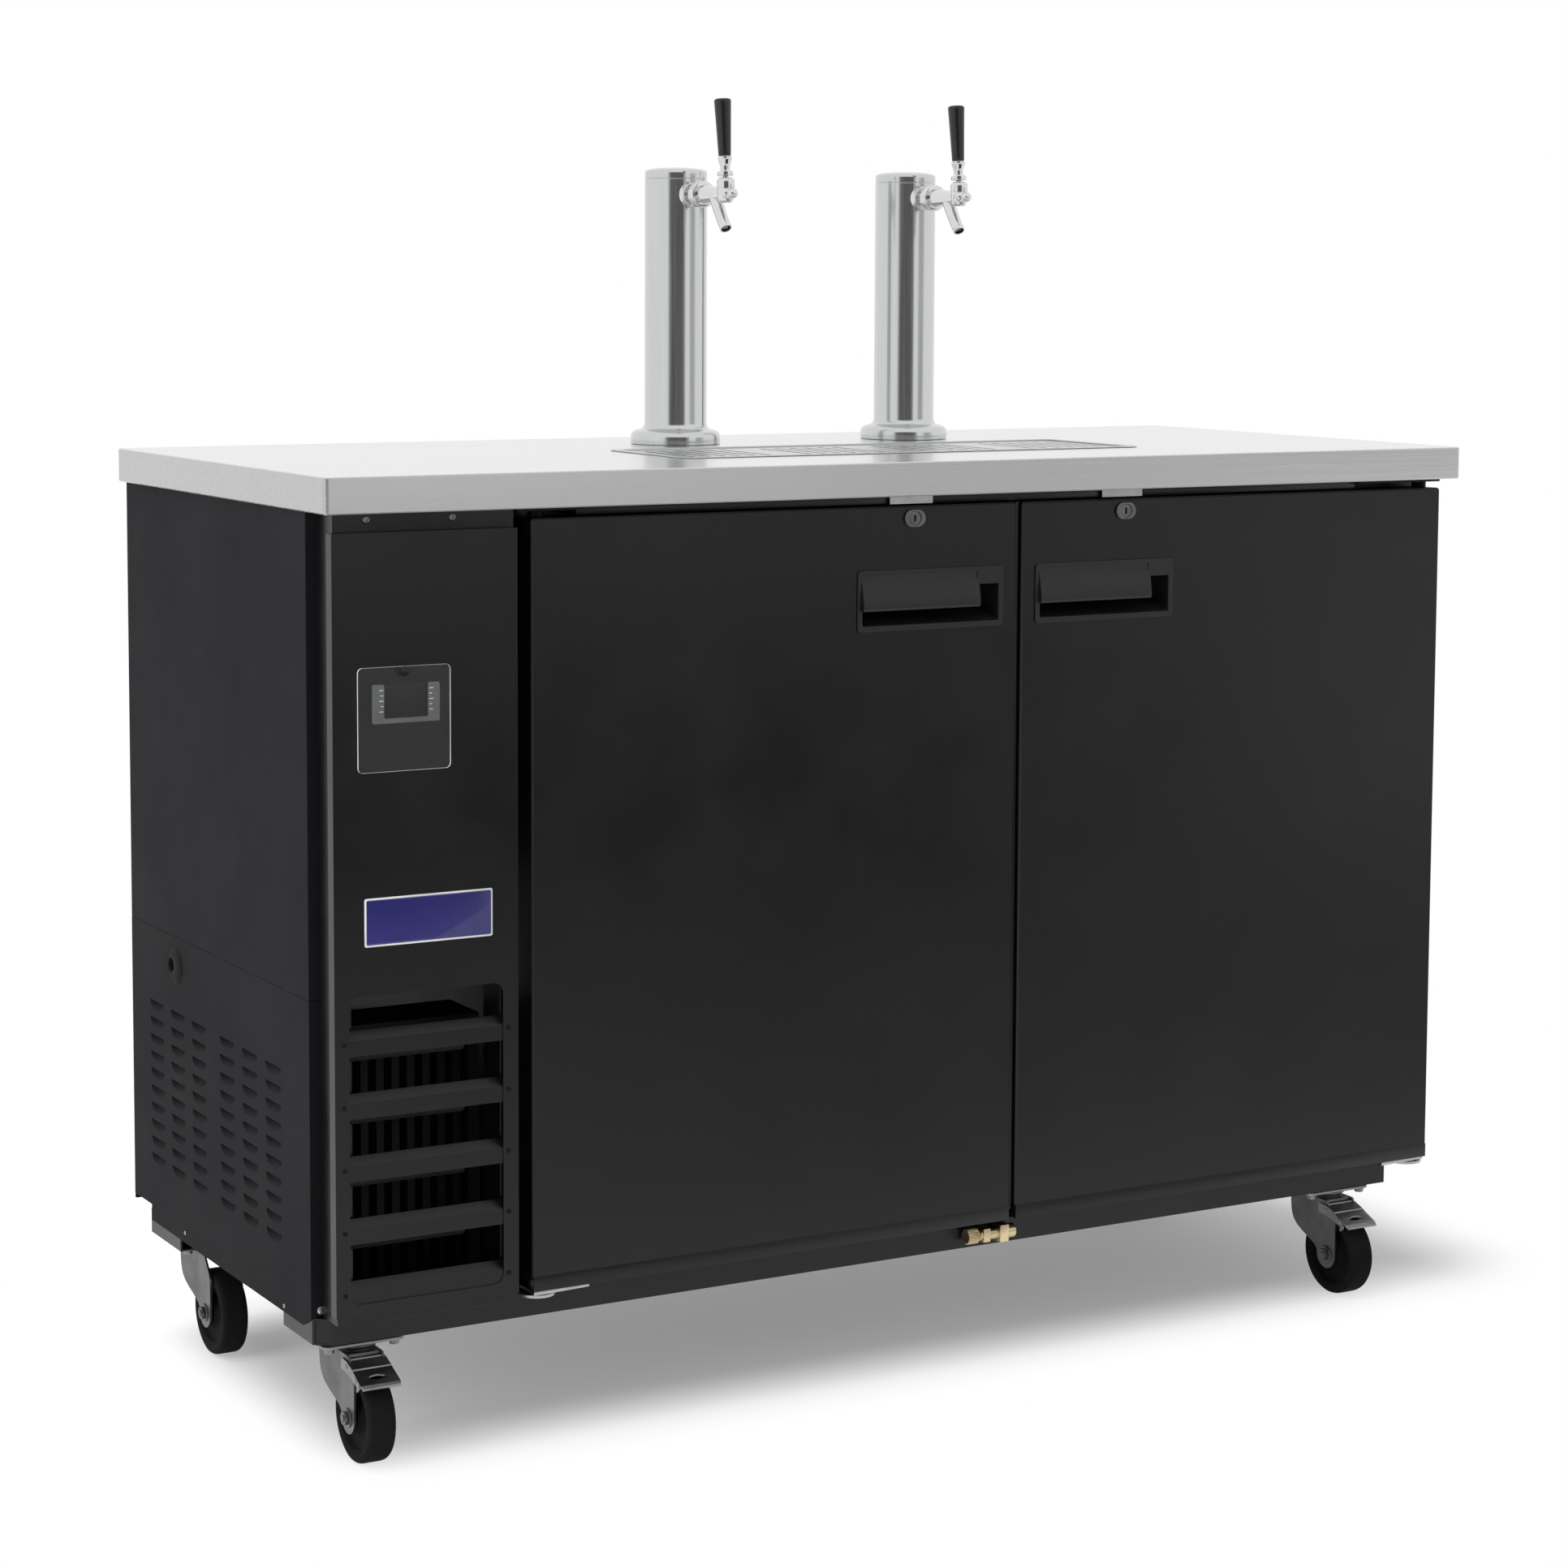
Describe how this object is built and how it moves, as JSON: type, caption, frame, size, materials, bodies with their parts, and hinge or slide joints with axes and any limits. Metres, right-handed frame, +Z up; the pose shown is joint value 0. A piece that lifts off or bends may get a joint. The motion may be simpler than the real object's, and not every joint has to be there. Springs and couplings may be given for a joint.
{
  "type": "kegerator",
  "caption": "Two-door refrigerated keg cabinet on swivel casters with a steel worktop, drip tray, beer towers and a grilled machine bay.",
  "frame": {"origin": "centre of the footprint on the floor, under the wheels' treads", "axes": "+Z up, +X to the user's right along the worktop, -Y towards the user, on the door side"},
  "size_m": [1.5, 0.645, 1.4766],
  "materials": {
    "black_steel": "satin black coated steel",
    "dark_steel": "dark painted steel",
    "stainless": "brushed stainless steel",
    "polished": "polished",
    "zinc": "bright zinc plate",
    "brass": "turned brass",
    "aluminium": "mill aluminium",
    "black_plastic": "fine grained black plastic",
    "black_rubber": "matt black rubber",
    "tyre_rubber": "black rubber tread",
    "grey_plastic": "light grey plastic",
    "clear_plastic": "clear acrylic sheet"
  },
  "bodies": {
    "cabinet": {"base_frame": "black_steel", "cabinet_shell": "black_steel", "inner_liner": "aluminium", "upper_side_panel": "black_steel", "lower_side_panel": "black_steel", "line_grommet": "black_rubber", "rear_grille": "black_steel", "cord_gland": "black_plastic", "machine_frame": "dark_steel", "grille_panel": "black_steel", "controller": "grey_plastic", "worktop": "stainless", "drip_pan": "stainless", "drain_valve": "brass", "compressor": "dark_steel", "condenser": "aluminium", "evaporator": "aluminium", "lock_strike_left": "zinc", "lock_strike_right": "zinc", "bottom_hinge_left": "zinc", "bottom_hinge_right": "zinc", "top_hinge_left": "black_steel", "top_hinge_right": "black_steel", "tower_column_left": "polished", "tower_column_right": "polished", "tower_cap_left": "polished", "tower_cap_right": "polished", "faucet_shank_left": "polished", "faucet_shank_right": "polished", "faucet_body_left": "polished", "faucet_body_right": "polished", "caster_plate_front_left": "zinc", "caster_plate_rear_left": "zinc", "caster_plate_front_right": "zinc", "caster_plate_rear_right": "zinc"},
    "door_left": {"door_left": "black_steel", "door_gasket_left": "black_rubber", "door_grip_left": "black_plastic"},
    "door_right": {"door_right": "black_steel", "door_gasket_right": "black_rubber", "door_grip_right": "black_plastic"},
    "lock_left": {"lock_left": "zinc"},
    "lock_right": {"lock_right": "zinc"},
    "controller_cover": {"controller_cover": "clear_plastic"},
    "drip_grate": {"drip_grate": "stainless"},
    "condenser_fan": {"condenser_fan": "black_plastic"},
    "tap_left": {"tap_lever_left": "polished", "tap_handle_left": "black_plastic"},
    "tap_right": {"tap_lever_right": "polished", "tap_handle_right": "black_plastic"},
    "fork_front_left": {"caster_fork_front_left": "zinc"},
    "fork_rear_left": {"caster_fork_rear_left": "zinc"},
    "fork_front_right": {"caster_fork_front_right": "zinc"},
    "fork_rear_right": {"caster_fork_rear_right": "zinc"},
    "wheel_front_left": {"caster_wheel_front_left": "tyre_rubber"},
    "wheel_rear_left": {"caster_wheel_rear_left": "tyre_rubber"},
    "wheel_front_right": {"caster_wheel_front_right": "tyre_rubber"},
    "wheel_rear_right": {"caster_wheel_rear_right": "tyre_rubber"},
    "pedal_left": {"brake_pedal_left": "polished"},
    "pedal_right": {"brake_pedal_right": "polished"}
  },
  "joints": [
    {"name": "door_left_hinge", "type": "hinge", "parent": "cabinet", "child": "door_left", "pos_m": [-0.494, -0.2856, 0.6], "axis": [0, 0, -1], "range_deg": [0, 105]},
    {"name": "door_right_hinge", "type": "hinge", "parent": "cabinet", "child": "door_right", "pos_m": [0.715, -0.2856, 0.6], "axis": [0, 0, 1], "range_deg": [0, 105]},
    {"name": "lock_left_turn", "type": "hinge", "parent": "door_left", "child": "lock_left", "pos_m": [-0.032, -0.3, 0.9952], "axis": [0, 1, 0], "range_deg": [0, 90]},
    {"name": "lock_right_turn", "type": "hinge", "parent": "door_right", "child": "lock_right", "pos_m": [0.2575, -0.3, 0.9952], "axis": [0, 1, 0], "range_deg": [0, 90]},
    {"name": "controller_cover_swing", "type": "hinge", "parent": "cabinet", "child": "controller_cover", "pos_m": [-0.662, -0.32, 0.855], "axis": [0, 1, 0], "range_deg": [-90, 90]},
    {"name": "drip_grate_lift", "type": "slide", "parent": "cabinet", "child": "drip_grate", "axis": [0, 0, 1], "range_m": [0, 0.12]},
    {"name": "condenser_fan_spin", "type": "hinge", "parent": "cabinet", "child": "condenser_fan", "pos_m": [-0.625, -0.144, 0.3093], "axis": [0, 1, 0], "continuous": true},
    {"name": "tap_left_pull", "type": "hinge", "parent": "cabinet", "child": "tap_left", "pos_m": [-0.0975, 0.018, 1.3722], "axis": [1, 0, 0], "range_deg": [0, 40]},
    {"name": "tap_right_pull", "type": "hinge", "parent": "cabinet", "child": "tap_right", "pos_m": [0.2309, 0.018, 1.3722], "axis": [1, 0, 0], "range_deg": [0, 40]},
    {"name": "caster_front_left_swivel", "type": "hinge", "parent": "cabinet", "child": "fork_front_left", "pos_m": [-0.69, -0.239, 0.12], "axis": [0, 0, 1], "continuous": true},
    {"name": "caster_rear_left_swivel", "type": "hinge", "parent": "cabinet", "child": "fork_rear_left", "pos_m": [-0.69, 0.196, 0.12], "axis": [0, 0, 1], "continuous": true},
    {"name": "caster_front_right_swivel", "type": "hinge", "parent": "cabinet", "child": "fork_front_right", "pos_m": [0.625, -0.239, 0.12], "axis": [0, 0, 1], "continuous": true},
    {"name": "caster_rear_right_swivel", "type": "hinge", "parent": "cabinet", "child": "fork_rear_right", "pos_m": [0.625, 0.196, 0.12], "axis": [0, 0, 1], "continuous": true},
    {"name": "wheel_front_left_roll", "type": "hinge", "parent": "fork_front_left", "child": "wheel_front_left", "pos_m": [-0.69, -0.271, 0.05017], "axis": [1, 0, 0], "continuous": true},
    {"name": "wheel_rear_left_roll", "type": "hinge", "parent": "fork_rear_left", "child": "wheel_rear_left", "pos_m": [-0.69, 0.164, 0.05017], "axis": [1, 0, 0], "continuous": true},
    {"name": "wheel_front_right_roll", "type": "hinge", "parent": "fork_front_right", "child": "wheel_front_right", "pos_m": [0.625, -0.271, 0.05017], "axis": [1, 0, 0], "continuous": true},
    {"name": "wheel_rear_right_roll", "type": "hinge", "parent": "fork_rear_right", "child": "wheel_rear_right", "pos_m": [0.625, 0.164, 0.05017], "axis": [1, 0, 0], "continuous": true},
    {"name": "brake_pedal_left_press", "type": "hinge", "parent": "fork_front_left", "child": "pedal_left", "pos_m": [-0.69, -0.261, 0.1087], "axis": [1, 0, 0], "range_deg": [0, 4]},
    {"name": "brake_pedal_right_press", "type": "hinge", "parent": "fork_front_right", "child": "pedal_right", "pos_m": [0.625, -0.261, 0.1087], "axis": [1, 0, 0], "range_deg": [0, 4]}
  ]
}
